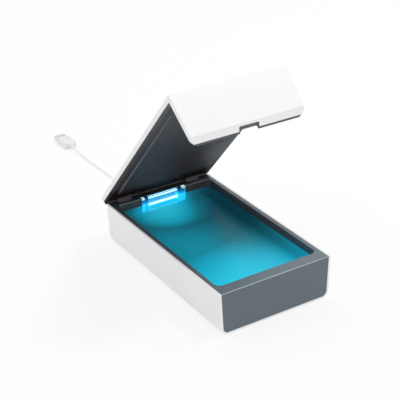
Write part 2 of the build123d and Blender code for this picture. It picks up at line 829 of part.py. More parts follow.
def make_lid_liner():
    plate = along_y(
        lid_trough(lid_low, band_low, 0, liner_inset), apron_inner - 0.5, lid_rear
    )
    apron = along_y(
        lid_trough(apron_low, band_low, apron_corner - liner_inset, liner_inset),
        apron_outer + lid_band,
        apron_inner,
    )
    liner = plate + apron
    raised_length = well_rear - panel_rear_gap - well_front - panel_gap
    raised_middle = well_front + panel_gap + raised_length / 2
    raised = along_z(
        Pos(0, raised_middle) * RectangleRounded(2 * (well_x - panel_gap), raised_length, well_corner),
        lid_low - panel_drop,
        lid_low + 0.5,
    )
    raised = chamfer(raised.faces().sort_by(Axis.Z)[0].edges(), panel_chamfer)
    liner += raised
    inset = lid_wall + fit
    rib = along_y(
        lid_trough(band_low - 0.5, band_low + rib_height, 0, inset), apron_outer + lid_band, lid_rear - inset
    )
    rib -= along_y(
        lid_trough(band_low - 1, band_low + rib_height + 1, 0, inset + rib_wall),
        apron_outer + lid_band + rib_wall,
        lid_rear - inset - rib_wall,
    )
    liner += rib
    edging = notch_cutter((apron_outer, apron_outer + lid_band + 0.5), fit, fit)
    liner += edging & block(
        (-notch_width, notch_width), (apron_outer - 1, apron_inner), (apron_low, notch_top + 1)
    )
    liner -= bevel_cutter()
    liner -= notch_cutter((apron_outer - 1, apron_inner + 1), notch_lip_side, notch_lip_top)
    for side in (-1, 1):
        liner += make_lug(side * hinge_offset)
    pocket = (band_low - magnet_thickness, band_low + 2)
    return liner - rod_z(magnet_radius + fit / 2, sensor_offset, sensor_y, pocket)


nodes["lid_liner"] = opened(make_lid_liner())
nodes["lid_magnet"] = opened(
    rod_z(magnet_radius, sensor_offset, sensor_y, (band_low - magnet_thickness, band_low))
)


# ------------------------------------------------------------------ cord
def make_strain_relief():
    """A moulded grommet: a flange on each side of the wall, then a tapered sleeve."""
    bore = cord_radius
    neck = cord_radius + relief_flange - fit
    points = [
        (bore, shell_inner_rear - 1.6),
        (neck + 1.4, shell_inner_rear - 1.6),
        (neck + 1.4, shell_inner_rear),
        (neck, shell_inner_rear),
        (neck, rear_y),
        (neck + 1.0, rear_y),
        (neck + 1.0, rear_y + 1.2),
        (bore + 0.7, rear_y + relief_length),
        (bore, rear_y + relief_length),
    ]
    plane = Plane(origin=(cord_x, 0, cord_exit_height), x_dir=(1, 0, 0), z_dir=(0, 0, 1))
    return revolve(plane * polygon(points), axis=Axis((cord_x, 0, cord_exit_height), (0, 1, 0)))


nodes["strain_relief"] = make_strain_relief()
nodes["cord_inner"] = rod_y(cord_radius, cord_x, (terminal_y[1], rear_y + relief_length), cord_exit_height)

lying = table + cord_radius
coil_low = lying + tie_thickness + tie_gap
coil_high = coil_low + coil_pitch
coil_start_y = 163.0
tail_end = (8.4, 308.0, table + plug_height / 2)

# Route of the cord outside the box: down to the table behind it, round the coil, and
# straight on along the table. A coil of the length put away lies where the box hides it.
lead_points = [
    (cord_x, rear_y + relief_length, cord_exit_height),
    (cord_x, 121.0, cord_exit_height),
    (cord_x, 149.0, coil_low),
    (cord_x, coil_start_y - cord_diameter, coil_low),
]
tail_points = [
    (cord_x, coil_start_y + cord_diameter, coil_high),
    (cord_x, 178.0, coil_high),
    (9.1, 201.0, lying),
    (8.6, 281.0, lying),
    (8.4, 298.0, tail_end[2]),
    tail_end,
]


def corner_radii(points):
    """At each corner, 0.45 of the shorter run over the tangent of half the turn."""
    radii = []
    for before, here, after in zip(points, points[1:], points[2:]):
        first = Vector(*here) - Vector(*before)
        second = Vector(*after) - Vector(*here)
        turn = radians(first.get_angle(second))
        radii.append(0.45 * min(first.length, second.length) / tan(turn / 2))
    return radii


def cord_tube(name, points):
    radii = corner_radii(points)
    path = FilletPolyline(*points, radius=radii)
    first = Vector(*points[1]) - Vector(*points[0])
    section = Plane(origin=points[0], z_dir=first) * Circle(cord_radius)
    tube = sweep(section, path=path)
    expected = pi * cord_radius**2 * path.length
    print(f"{name}: length {path.length:.1f} mm, least radius {min(radii):.1f} mm, "
          f"volume over section times length {tube.volume / expected:.4f}")
    return tube, path.length


def coil_path():
    """Half turns that wind in on the lower layer, climb once, and wind out on the upper."""
    half_turns = 4 * coil_turns
    here = Vector(cord_x, coil_start_y, coil_low)
    heading = Vector(0, 1, 0)
    edges = [Line(here - heading * cord_diameter, here)]
    for k in range(half_turns):
        steps_in = min(k, half_turns - k)
        radius = coil_outer_radius - steps_in * coil_pitch / 2
        side = 1 if k % 2 == 0 else -1
        height = coil_low if k < half_turns / 2 else coil_high
        there = Vector(here.X + side * 2 * radius, here.Y, height)
        edges += biarc(here, heading, there, heading * -1)
        here = there
        heading = heading * -1
    edges.append(Line(here, here + heading * cord_diameter))
    return Wire(edges)


def least_self_gap(path, diameter, samples):
    """Least gap between the surfaces of stretches more than three diameters apart."""
    points = [path @ (i / samples) for i in range(samples + 1)]
    step = path.length / samples
    skip = int(3 * diameter / step) + 1
    least = path.length
    for i in range(samples + 1):
        for j in range(i + skip, samples + 1):
            least = min(least, (points[i] - points[j]).length)
    return least - diameter


nodes["cord_lead"], lead_length = cord_tube("cord_lead", lead_points)
nodes["cord_tail"], tail_length = cord_tube("cord_tail", tail_points)
coil_wire = coil_path()
coil_section = Plane(origin=coil_wire @ 0, z_dir=(0, 1, 0)) * RegularPolygon(cord_radius, coil_sides)
nodes["cord_coil"] = sweep(coil_section, path=coil_wire)
print(f"cord_coil: length {coil_wire.length:.1f} mm, mean diameter "
      f"{2 * coil_outer_radius - coil_turns * coil_pitch:.1f} mm, least gap to itself "
      f"{least_self_gap(coil_wire, cord_diameter, 1100):.2f} mm")
print(f"cord outside the box: {lead_length + coil_wire.length + tail_length:.0f} mm")


def make_cable_tie():
    """A strap loop round all the turns, on the side of the coil away from the lead."""
    outer_x = cord_x + 2 * coil_outer_radius
    inner_x = outer_x - coil_turns * coil_pitch
    x = (inner_x - cord_radius - tie_side_gap, outer_x + cord_radius + tie_side_gap)
    z = (coil_low - cord_radius - tie_gap, coil_high + cord_radius + tie_gap)
    middle = ((x[0] + x[1]) / 2, (z[0] + z[1]) / 2)
    width = x[1] - x[0]
    height = z[1] - z[0]
    y = (coil_start_y - tie_width / 2, coil_start_y + tie_width / 2)
    hole = along_y(Pos(*middle) * RectangleRounded(width, height, cord_radius), y[0] - 1, y[1] + 1)
    grow = 2 * tie_thickness
    loop = Pos(*middle) * RectangleRounded(width + grow, height + grow, cord_radius + tie_thickness)
    head = block((middle[0] - 3, middle[0] + 3), (y[0] - 0.6, y[1] + 0.6), (z[1] + 0.2, z[1] + 3.0))
    return along_y(loop, y[0], y[1]) + fillet(head.edges().filter_by(Axis.Z), 0.8) - hole


nodes["cable_tie"] = make_cable_tie()


# ------------------------------------------------------------------ plug
def make_plug_body():
    """A slim moulded grip: a rounded slab behind the metal shell, with a short neck."""
    x, start, z = tail_end
    slab = Pos(x, start + plug_neck + (plug_length - plug_neck) / 2, z) * Box(
        plug_width, plug_length - plug_neck, plug_height
    )
    slab = fillet(slab.edges().filter_by(Axis.Y), 2.0)
    slab = chamfer(slab.faces().sort_by(Axis.Y)[0].edges(), 1.2)
    neck = Pos(x, start + plug_neck / 2 + 0.5, z) * Rot(90, 0, 0) * Cone(
        cord_radius + 1.6, cord_radius + 0.8, plug_neck + 1
    )
    return slab + neck


nodes["plug_body"] = make_plug_body()
shell_start = tail_end[1] + plug_length


def make_plug_shell():
    x, z = tail_end[0], tail_end[2]
    y = (shell_start, shell_start + plug_shell_length)
    half = (plug_shell_width / 2, plug_shell_height / 2)
    outer = block((x - half[0], x + half[0]), y, (z - half[1], z + half[1]))
    sheet = plug_shell_sheet
    inner = block((x - half[0] + sheet, x + half[0] - sheet), (y[0] - 1, y[1] + 1),
                  (z - half[1] + sheet, z + half[1] - sheet))
    shell = outer - inner
    for side in (-1, 1):
        middle = x + side * plug_window_offset
        shell -= block(
            (middle - plug_window / 2, middle + plug_window / 2),
            (y[0] + 5.2, y[0] + 5.2 + plug_window),
            (z, z + half[1] + 1),
        )
    return shell


nodes["plug_shell"] = make_plug_shell()
tongue_half = plug_shell_width / 2 - plug_shell_sheet - fit
nodes["plug_tongue"] = block(
    (tail_end[0] - tongue_half, tail_end[0] + tongue_half),
    (shell_start, shell_start + plug_shell_length - 0.8),
    (tail_end[2] - plug_shell_height / 2 + plug_shell_sheet, tail_end[2] - 0.2),
)

# ------------------------------------------------------------------ export
os.makedirs("parts", exist_ok=True)
for name, shape in nodes.items():
    export_step(shape, f"parts/{name}.step")
print(len(nodes), "nodes")
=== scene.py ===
"""Dressed model of an ultraviolet sanitizer box for phones, in metres, round its CAD frame.

The sections follow the box as it is put together. +X is right, +Y is to the rear, +Z is up,
and the origin is the centre of the base's flat underside.
"""

from math import cos, pi, radians, sin

import bmesh
import bpy
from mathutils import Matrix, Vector


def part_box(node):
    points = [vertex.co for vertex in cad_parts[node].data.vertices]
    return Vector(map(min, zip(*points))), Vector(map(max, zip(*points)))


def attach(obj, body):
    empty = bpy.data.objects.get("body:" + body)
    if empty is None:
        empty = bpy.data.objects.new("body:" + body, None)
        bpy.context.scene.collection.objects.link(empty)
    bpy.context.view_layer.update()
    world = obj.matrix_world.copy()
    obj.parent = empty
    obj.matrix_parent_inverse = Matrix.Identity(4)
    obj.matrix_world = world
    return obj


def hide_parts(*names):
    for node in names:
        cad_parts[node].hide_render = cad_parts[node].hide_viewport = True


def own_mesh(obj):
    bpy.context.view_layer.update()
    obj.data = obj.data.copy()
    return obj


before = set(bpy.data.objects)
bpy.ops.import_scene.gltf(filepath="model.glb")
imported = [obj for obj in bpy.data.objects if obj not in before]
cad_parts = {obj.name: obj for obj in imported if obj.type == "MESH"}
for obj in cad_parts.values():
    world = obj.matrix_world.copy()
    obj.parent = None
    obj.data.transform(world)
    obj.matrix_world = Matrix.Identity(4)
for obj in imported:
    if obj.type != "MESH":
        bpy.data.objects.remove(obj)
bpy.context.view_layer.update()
scene = bpy.context.scene

# ------------------------------------------------------------------ camera
# The photograph's viewpoint: in front of the box, to its left and above it, through a long
# lens. Its place was fitted to the edges of the base and the lid.
camera_place = (-0.48264, -0.76898, 0.54020)
camera_turn = (62.6086, 1.4033, -32.1345)      # degrees about X, then Y, then Z


def placed(name, data):
    """An object of this data at the origin, in the scene."""
    made = bpy.data.objects.new(name, data)
    scene.collection.objects.link(made)
    return made


camera_data = bpy.data.cameras.new("camera")
camera_data.lens = 102.67
camera_data.sensor_width = 36.0
camera_data.clip_end = 30.0
camera = placed("camera", camera_data)
camera.location = camera_place
camera.rotation_euler = [radians(part) for part in camera_turn]
scene.camera = camera

# ------------------------------------------------------------------ cord
# A thin round low-voltage cord with a soft white jacket. It leaves the sleeve in the rear
# wall and drops to the table, where its spare length lies coiled and tied in two layers. The
# rest runs straight back to a plug with four gold contacts.
table = -0.0005               # the feet stand this far below the underside
cord_diameter = 0.003
cord_exit = (0.009, 0.112, 0.012)
cord_low = 0.0019             # lower layer of the coil
cord_high = 0.00535           # upper layer of the coil
cord_lying = table + cord_diameter / 2
coil_start = (0.009, 0.163)
coil_outer_radius = 0.0232
coil_pitch = 0.00345
coil_half_turns = 16
points_per_half_turn = 9
plug_place = (0.0084, 0.308, 0.0035)


def coil_points():
    """Half turns that wind in on the lower layer, climb once, and wind out on the upper.

    The spline runs inside its points, so they lie on the corners of a polygon round each arc.
    """
    points = []
    start_x, start_y = coil_start
    for k in range(coil_half_turns):
        radius = coil_outer_radius - min(k, coil_half_turns - k) * coil_pitch / 2
        corner = radius / cos(pi / points_per_half_turn / 2)
        side = 1 if k % 2 == 0 else -1
        here, there = (cord_low if i < coil_half_turns / 2 else cord_high for i in (k - 1, k))
        for i in range(points_per_half_turn):
            share = (i + 0.5) / points_per_half_turn
            points.append((
                start_x + side * (radius - corner * cos(pi * share)),
                start_y + side * corner * sin(pi * share),
                here + (there - here) * share,
            ))
        start_x += side * 2 * radius
    return points


route = [
    cord_exit,
    (0.009, 0.121, 0.012),
    (0.009, 0.149, cord_low),
    (0.009, 0.160, cord_low),
    *coil_points(),
    (0.009, 0.166, cord_high),
    (0.009, 0.178, cord_high),
    (0.0104, 0.203, cord_lying),
    (0.0088, 0.281, cord_lying),
    (0.0084, 0.298, plug_place[2]),
    plug_place,
]
cord_curve = bpy.data.curves.new("cord", "CURVE")
cord_curve.dimensions = "3D"
cord_curve.bevel_depth = cord_diameter / 2
cord_curve.bevel_resolution = 4
cord_curve.resolution_u = 4
cord_curve.use_fill_caps = True
cord_line = cord_curve.splines.new("NURBS")
cord_line.points.add(len(route) - 1)
for point, place in zip(cord_line.points, route):
    point.co = (*place, 1.0)
cord_line.order_u = 3
cord_line.use_endpoint_u = True
cord = placed("cord", cord_curve)


def plug_in(tree, socket, value):
    """Links an output to a socket, or writes a plain value on it."""
    if isinstance(value, bpy.types.NodeSocket):
        tree.links.new(value, socket)
    else:
        socket.default_value = value


def add_node(tree, kind, settings=(), **sockets):
    """Adds a node. A socket's name has _ for each space, or is in_ and its number."""
    made = tree.nodes.new(kind)
    for key, value in dict(settings).items():
        setattr(made, key, value)
    for key, value in sockets.items():
        which = int(key[3:]) if key.startswith("in_") else key.replace("_", " ")
        plug_in(tree, made.inputs[which], value)
    return made


def coat_socket(tree, name):
    return tree.nodes["Principled BSDF"].inputs[name]


def coat(tree, **sockets):
    """Puts values or outputs on the Principled shader. A name has _ for each space."""
    for key, value in sockets.items():
        plug_in(tree, coat_socket(tree, key.replace("_", " ")), value)


def new_finish(name, **sockets):
    """A material and its node tree, with these values on its Principled shader."""
    material = bpy.data.materials.new(name)
    material.use_nodes = True
    coat(material.node_tree, **sockets)
    return material, material.node_tree


def object_place(tree):
    return add_node(tree, "ShaderNodeTexCoord").outputs["Object"]


def noise(tree, size, detail=2.0, stretch=(1, 1, 1)):
    """Noise on Object coordinates whose features are about size metres wide."""
    scaled = add_node(tree, "ShaderNodeMapping", Vector=object_place(tree), Scale=stretch)
    return add_node(
        tree, "ShaderNodeTexNoise",
        Vector=scaled.outputs["Vector"], Scale=1 / size, Detail=detail,
    ).outputs["Fac"]


def graded(tree, factor, *stops):
    """A colour ramp through (place, colour) stops."""
    ramp = add_node(tree, "ShaderNodeValToRGB", Fac=factor)
    elements = ramp.color_ramp.elements
    for i, (place, colour) in enumerate(stops):
        element = elements[i] if i < 2 else elements.new(place)
        element.position = place
        element.color = (*colour, 1.0)
    return ramp.outputs["Color"]


def mapped(tree, value, low, high, at_low=0.0, at_high=1.0, kind="LINEAR"):
    """Carries low and high to at_low and at_high, and holds what lies beyond them."""
    return add_node(
        tree, "ShaderNodeMapRange", {"interpolation_type": kind},
        in_0=value, in_1=low, in_2=high, in_3=at_low, in_4=at_high,
    ).outputs["Result"]


def spread(tree, factor, low, high):
    """Carries 0.3 and 0.7, between which most of a noise lies, to low and high."""
    return mapped(tree, factor, 0.3, 0.7, low, high)


def uneven_gloss(tree, size, detail, low, high):
    """Roughness between low and high, in patches about size metres wide."""
    coat(tree, Roughness=spread(tree, noise(tree, size, detail), low, high))


def relief(tree, height, depth):
    """A bump of this depth in metres, on top of those that the shader has already."""
    bump = add_node(
        tree, "ShaderNodeBump", Height=height, Strength=1.0, Distance=depth, Filter_Width=1.0
    )
    below = coat_socket(tree, "Normal").links
    if below:
        plug_in(tree, bump.inputs["Normal"], below[0].from_socket)
    coat(tree, Normal=bump.outputs["Normal"])


def sparked(tree, roughness, grain, depth):
    """The surface of a moulding: a sparked grain, faint ripples and an uneven gloss."""
    gloss_width = 0.009
    gloss_change = 0.05
    ripple_width = 0.004
    uneven_gloss(
        tree, gloss_width, detail=4.0, low=roughness - gloss_change, high=roughness + gloss_change
    )
    relief(tree, noise(tree, grain), depth)
    relief(tree, noise(tree, ripple_width, detail=1.0), depth)


def shade(colour, factor):
    return tuple(min(1.0, part * factor) for part in colour)


def moulded(name, colour, roughness, grain=0.00035, depth=0.000012, mottle=0.04):
    """Injection-moulded plastic of one colour, with faint flow marks."""
    flow_width = 0.045
    material, tree = new_finish(name)
    tone = graded(
        tree, noise(tree, flow_width, detail=3.0),
        (0.3, shade(colour, 1 - mottle)),
        (0.7, shade(colour, 1 + mottle)),
    )
    coat(tree, Base_Color=tone)
    sparked(tree, roughness, grain, depth)
    return material


cord_jacket = moulded(
    "cord_jacket", (0.91, 0.915, 0.92), roughness=0.5, grain=0.0006, depth=0.00001
)
cord_curve.materials.append(cord_jacket)
weld_gap = 1e-6               # mesh corners nearer than this are one
flat_turn = 1                 # degrees; facets that turn less are one face
round_turn = 28               # degrees; edges that turn less belong to a round face


def smoothed(mesh, least_turn):
    """Shades a mesh smooth but for edges that turn by at least this many degrees."""
    mesh.shade_smooth()
    mesh.set_sharp_from_angle(angle=radians(least_turn))


def eased_copy(node, name, finish, rounding=0.0, body="base"):
    """A copy of a CAD piece in its place, its facets merged and its sharp edges rounded."""
    made = bmesh.new()
    made.from_mesh(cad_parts[node].data)
    bmesh.ops.remove_doubles(made, verts=made.verts, dist=weld_gap)
    bmesh.ops.dissolve_limit(
        made, angle_limit=radians(flat_turn),
        verts=made.verts, edges=made.edges, delimit={"NORMAL"},
    )
    mesh = bpy.data.meshes.new(name)
    made.to_mesh(mesh)
    made.free()
    if "custom_normal" in mesh.attributes:
        mesh.attributes.remove(mesh.attributes["custom_normal"])
    smoothed(mesh, round_turn)
    mesh.materials.clear()
    mesh.materials.append(finish)
    piece = placed(name, mesh)
    if rounding:
        bevel = piece.modifiers.new("eased edges", "BEVEL")
        bevel.width = rounding
        bevel.segments = 2
        bevel.limit_method = "ANGLE"
        bevel.angle_limit = radians(round_turn)
        bevel.harden_normals = True
    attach(piece, body)
    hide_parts(node)
    return piece


def dress(node, finish):
    """Gives a CAD node that stays its finish."""
    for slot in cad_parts[node].material_slots:
        slot.material = finish


plug_white = moulded("plug_grip", (0.80, 0.81, 0.83), roughness=0.32)
plug_grip = eased_copy("plug_body", "plug_grip", plug_white, rounding=0.0002)
plated, plated_tree = new_finish(
    "nickel_plate", Metallic=1.0, Base_Color=(0.72, 0.72, 0.74, 1)
)
uneven_gloss(plated_tree, size=0.002, detail=4.0, low=0.16, high=0.3)
relief(plated_tree, noise(plated_tree, size=0.0004, stretch=(1, 0.1, 1)), depth=0.000003)
plug_shell = eased_copy(
    "plug_shell", "plug_shell_plated", plated, rounding=0.0001
)
plug_tongue = eased_copy(
    "plug_tongue", "plug_tongue_moulded", plug_white, rounding=0.0001
)


def row_tree():
    """Geometry Nodes: copies of a shape at even steps along a row, realized, with a finish."""
    tree = bpy.data.node_groups.new("even row", "GeometryNodeTree")
    inputs = (
        ("Geometry", "Geometry"), ("Shape", "Object"), ("Count", "Int"),
        ("Start", "Vector"), ("Step", "Vector"), ("Finish", "Material"),
    )
    for name, kind in inputs:
        tree.interface.new_socket(name, in_out="INPUT", socket_type="NodeSocket" + kind)
    tree.interface.new_socket("Geometry", in_out="OUTPUT", socket_type="NodeSocketGeometry")
    given = tree.nodes.new("NodeGroupInput").outputs
    result = tree.nodes.new("NodeGroupOutput").inputs
    line = add_node(
        tree, "GeometryNodeMeshLine",
        Count=given["Count"], Start_Location=given["Start"], Offset=given["Step"],
    )
    shape = add_node(tree, "GeometryNodeObjectInfo", Object=given["Shape"])
    copies = add_node(
        tree, "GeometryNodeInstanceOnPoints",
        Points=line.outputs["Mesh"], Instance=shape.outputs["Geometry"],
    )
    real = add_node(tree, "GeometryNodeRealizeInstances", Geometry=copies.outputs["Instances"])
    dressed = add_node(
        tree, "GeometryNodeSetMaterial",
        Geometry=real.outputs["Geometry"], Material=given["Finish"],
    )
    plug_in(tree, result["Geometry"], dressed.outputs["Geometry"])
    return tree


even_row = row_tree()


def plain_mesh(piece):
    """The mesh that an object's modifiers or its curve make."""
    seen = piece.evaluated_get(bpy.context.evaluated_depsgraph_get())
    return bpy.data.meshes.new_from_object(seen)


def row_of(name, shape, count, start, step, finish):
    """A plain mesh of copies of shape, made by the row's Geometry Nodes."""
    given = {"Shape": shape, "Count": count, "Start": start, "Step": step, "Finish": finish}
    piece = placed(name, bpy.data.meshes.new(name))
    modifier = piece.modifiers.new("row", "NODES")
    modifier.node_group = even_row
    for socket in even_row.interface.items_tree:
        if socket.name in given:
            modifier[socket.identifier] = given[socket.name]
    mesh = plain_mesh(piece)
    piece.modifiers.clear()
    piece.data = mesh
    return piece


contact_gold, gold_tree = new_finish(
    "contact_gold", Metallic=1.0, Base_Color=(0.86, 0.60, 0.24, 1)
)
uneven_gloss(gold_tree, size=0.001, detail=3.0, low=0.15, high=0.3)
contact_count = 4
contact_pitch = 0.0023
contact_width = 0.001
contact_length = 0.0072
contact_slope = 0.0006        # the end that dips towards the tongue's tip
contact_inset = 0.0006        # from that end to the tip
contact_height = 0.0001
contact_end_height = 0.00003
contact_sunk = 0.00005        # how deep it lies in the tongue
contact_profile = (
    (0, -contact_sunk),
    (0, contact_height),
    (contact_length - contact_slope, contact_height),
    (contact_length, contact_end_height),
    (contact_length, -contact_sunk),
)
contact_mesh = bpy.data.meshes.new("contact_shape")
made = bmesh.new()
left_side, right_side = (
    [made.verts.new((x, y, z)) for y, z in contact_profile]
    for x in (-contact_width / 2, contact_width / 2)
)
made.faces.new(left_side)
made.faces.new(right_side)
for i in range(len(contact_profile)):
    j = (i + 1) % len(contact_profile)
    made.faces.new((left_side[i], left_side[j], right_side[j], right_side[i]))
bmesh.ops.recalc_face_normals(made, faces=made.faces)
made.to_mesh(contact_mesh)
made.free()
contact_shape = placed("contact_shape", contact_mesh)
tongue_low, tongue_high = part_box("plug_tongue")
contact_start = (
    (tongue_low.x + tongue_high.x) / 2 - (contact_count - 1) / 2 * contact_pitch,
    tongue_high.y - contact_inset - contact_length,
    tongue_high.z,
)
contacts = row_of(
    "plug_contacts", contact_shape, contact_count, contact_start, (contact_pitch, 0, 0),
    contact_gold,
)
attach(contacts, "base")
bpy.data.objects.remove(contact_shape)
tie_nylon = moulded("cable_tie_nylon", (0.035, 0.035, 0.038), roughness=0.42)
tie = eased_copy("cable_tie", "cable_tie_strap", tie_nylon, rounding=0.00015)
eased_copy(
    "strain_relief", "strain_relief_sleeve", cord_jacket, rounding=0.0001
)
dress("cord_inner", cord_jacket)
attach(cord, "base")
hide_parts("cord_lead", "cord_coil", "cord_tail")

# ------------------------------------------------------------------ base shell
# The white outer trough of the base, one moulding with closed sides, floor and rear wall.
# Its front stays open for the dark tray, and its walls' ends show as a thin white line.
shell_white = moulded(
    "shell_white", (0.868, 0.870, 0.880),
    roughness=0.36, grain=0.0003, depth=0.000006, mottle=0.012,
)
eased_copy("base_shell", "base_shell_moulding", shell_white, rounding=0.0002)

# ------------------------------------------------------------------ tray
# The dark blue-grey front face and rim, one moulding that drops into the shell and carries
# the hinge housings, the lamp bay and the upper wall of the well. Painted shade darkens the
# well's upper wall, painted light makes the rim lighter towards the front and darker towards
# the rear, two of its edges carry painted highlights, and the bay walls have a painted glow.
tray_grey = moulded(
    "tray_grey", (0.071, 0.100, 0.130),
    roughness=0.45, grain=0.0005, depth=0.000004, mottle=0.03,
)
tray_tree = tray_grey.node_tree
coat(tray_tree, Specular_IOR_Level=0.9)
tray_low, tray_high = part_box("inner_tray")
past = 0.001                  # masks reach this far beyond the tray's outer faces
rim_side = tray_high.x + past
rim_end = tray_high.y + past
rim_over = tray_high.z + past
rim_level = tray_high.z - 0.0006       # under it lie the walls, over it the rim's top
front_light_depth = 0.0007             # the line of light along the front edge
front_edge_depth = 0.001
front_edge_height = 0.0015
front_polish = 0.2                     # how much smoother the front edge is
bay_strength = 0.7


def joined(tree, operation, first, second):
    return add_node(
        tree, "ShaderNodeMath", {"operation": operation}, in_0=first, in_1=second
    ).outputs[0]


def vector_joined(tree, operation, **sockets):
    return add_node(tree, "ShaderNodeVectorMath", {"operation": operation}, **sockets)


def within(tree, x, y, z):
    """1 inside the box with these (low, high) ranges along its axes, 0 outside it."""
    low, high = (Vector(corner) for corner in zip(x, y, z))
    middle = (low + high) / 2
    half = (high - low) / 2
    off = vector_joined(tree, "SUBTRACT", in_0=object_place(tree), in_1=middle)
    size = vector_joined(tree, "ABSOLUTE", in_0=off.outputs[0])
    ratio = vector_joined(tree, "DIVIDE", in_0=size.outputs[0], in_1=half)
    axes = add_node(tree, "ShaderNodeSeparateXYZ", Vector=ratio.outputs[0]).outputs
    widest = joined(tree, "MAXIMUM", joined(tree, "MAXIMUM", axes["X"], axes["Y"]), axes["Z"])
    return joined(tree, "LESS_THAN", widest, 1.0)


def recoloured(tree, where, colour, socket="Base Color"):
    """Lays a second colour over the shader's own where a mask is 1."""
    taken = coat_socket(tree, socket)
    first = taken.links[0].from_socket
    mixed = add_node(
        tree, "ShaderNodeMix", {"data_type": "RGBA"}, in_0=where, in_6=first, in_7=colour
    )
    plug_in(tree, taken, mixed.outputs[2])


def along(tree, axis, low, high):
    """0 at the first place along an axis, 1 at the second."""
    places = add_node(tree, "ShaderNodeSeparateXYZ", Vector=object_place(tree)).outputs
    return mapped(tree, places[axis], low, high)


# painted shade: the well's upper wall darker and warmer than the rest of the tray
well_wall_shade = within(tray_tree, x=(-0.0516, 0.0516), y=(-0.0871, 0.0881), z=(0.0200, rim_level))
recoloured(tray_tree, well_wall_shade, (0.055, 0.038, 0.043, 1))
# painted light and shade: the rim's top lighter towards the front and darker towards the rear
rim_top = within(
    tray_tree, x=(-rim_side, rim_side), y=(-rim_end, rim_end), z=(rim_level, rim_over)
)
rim_painted_light = graded(
    tray_tree, along(tray_tree, "Y", tray_low.y, tray_high.y),
    (0.06, (0.105, 0.146, 0.180)),
    (0.30, (0.070, 0.096, 0.120)),
    (1.0, (0.036, 0.048, 0.060)),
)
recoloured(tray_tree, rim_top, rim_painted_light)
# painted highlight: a light line along the ledge's front edge
ledge_highlight = within(
    tray_tree, x=(-0.0490, 0.0490), y=(0.0862, 0.0898), z=(rim_level, rim_over)
)
recoloured(tray_tree, ledge_highlight, (0.240, 0.250, 0.265, 1))
# painted highlight: a lighter line along the rim's front edge
front_light_line = within(
    tray_tree,
    x=(-rim_side, rim_side), y=(-rim_end, tray_low.y + front_light_depth), z=(rim_level, rim_over),
)
recoloured(tray_tree, front_light_line, (0.240, 0.270, 0.290, 1))
front_edge = within(
    tray_tree,
    x=(-rim_side, rim_side),
    y=(-rim_end, tray_low.y + front_edge_depth),
    z=(tray_high.z - front_edge_height, rim_over),
)
tray_gloss = coat_socket(tray_tree, "Roughness").links[0].from_socket
polished = joined(tray_tree, "MULTIPLY", front_edge, front_polish)
coat(tray_tree, Roughness=joined(tray_tree, "SUBTRACT", tray_gloss, polished))
# painted light: the lamp bay's walls glow with the lamp's blue-green, though they are no lamp
bay_walls = within(tray_tree, x=(-0.0246, 0.0246), y=(0.0882, 0.0945), z=(0.025, 0.039))
bay_painted_glow = joined(tray_tree, "MULTIPLY", bay_walls, bay_strength)
coat(tray_tree, Emission_Color=(0.006, 0.62, 0.85, 1), Emission_Strength=bay_painted_glow)
eased_copy("inner_tray", "tray_moulding", tray_grey, rounding=0.0004)

# ------------------------------------------------------------------ reflecting pan
# The bright lower wall and floor of the well, coated to throw the lamp's light about. Its colour
# and glow are painted light: the lamp's blue-green, brightest under the lamp and towards the
# front left, with painted shade towards the rear right.
pan_coating_painted_glow, pan_tree = new_finish(
    "pan_coating_painted_glow", Specular_IOR_Level=0.06, Emission_Strength=0.5
)
glow_level = 0.026            # just over the well's floor
front_share = 0.9
left_share = 0.48
right_loss = 0.8


def near(tree, centre, reach):
    """1 at a point, falling smoothly to 0 at its reach in metres."""
    gap = vector_joined(tree, "DISTANCE", in_0=object_place(tree), in_1=centre)
    return mapped(tree, gap.outputs["Value"], 0.0, reach, 1.0, 0.0, "SMOOTHERSTEP")


# painted light and shade: pools of the lamp's light under the lamp, towards the front and the
# left, and a painted shade at the rear right, set into the pan's colour and its glow
pan_light = near(pan_tree, centre=(-0.001, 0.079, glow_level), reach=0.064)
front_light = near(pan_tree, centre=(-0.018, -0.088, glow_level), reach=0.158)
left_light = near(pan_tree, centre=(-0.030, 0.010, glow_level), reach=0.110)
right_shade = near(pan_tree, centre=(0.060, 0.045, glow_level), reach=0.078)
for light, share in ((front_light, front_share), (left_light, left_share)):
    added = joined(pan_tree, "MULTIPLY", light, share)
    pan_light = joined(pan_tree, "MAXIMUM", pan_light, added)
lost = joined(pan_tree, "MULTIPLY", right_shade, right_loss)
pan_light = joined(pan_tree, "MULTIPLY", pan_light, joined(pan_tree, "SUBTRACT", 1.0, lost))
pan_painted_light = graded(
    pan_tree, pan_light,
    (0.0, (0.004, 0.045, 0.066)),
    (0.35, (0.008, 0.150, 0.205)),
    (0.7, (0.010, 0.360, 0.510)),
    (1.0, (0.020, 0.500, 0.660)),
)
coat(pan_tree, Base_Color=pan_painted_light, Emission_Color=pan_painted_light)
uneven_gloss(pan_tree, size=0.02, detail=4.0, low=0.22, high=0.34)
relief(pan_tree, noise(pan_tree, size=0.012), depth=0.00004)
eased_copy("reflector_pan", "reflecting_pan", pan_coating_painted_glow)

# ------------------------------------------------------------------ lamp
# A cold-cathode tube bent into a U behind a clear window, held by a blue moulded clip at
# each end in front of a folded sheet. It is drawn lit, as in use. The sheet and the clips
# carry the tube's light as a painted glow with painted shade, and the clips' tops painted glints.
lamp_low, lamp_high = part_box("uv_lamp_tube")
cover_low, cover_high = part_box("lamp_cover")
tube_radius = 0.0013
core_radius = 0.0008          # the glowing gas inside the quartz
tube_pitch = 0.0075
bend_radius = tube_pitch / 2
bend_points = 24
tube_left = lamp_low.x
tube_bend = lamp_high.x - tube_radius - bend_radius
tube_y = (lamp_low.y + lamp_high.y) / 2
tube_middle = (lamp_low.z + lamp_high.z) / 2
cool_end = 0.009              # the limbs glow a deeper blue over this much of their ends

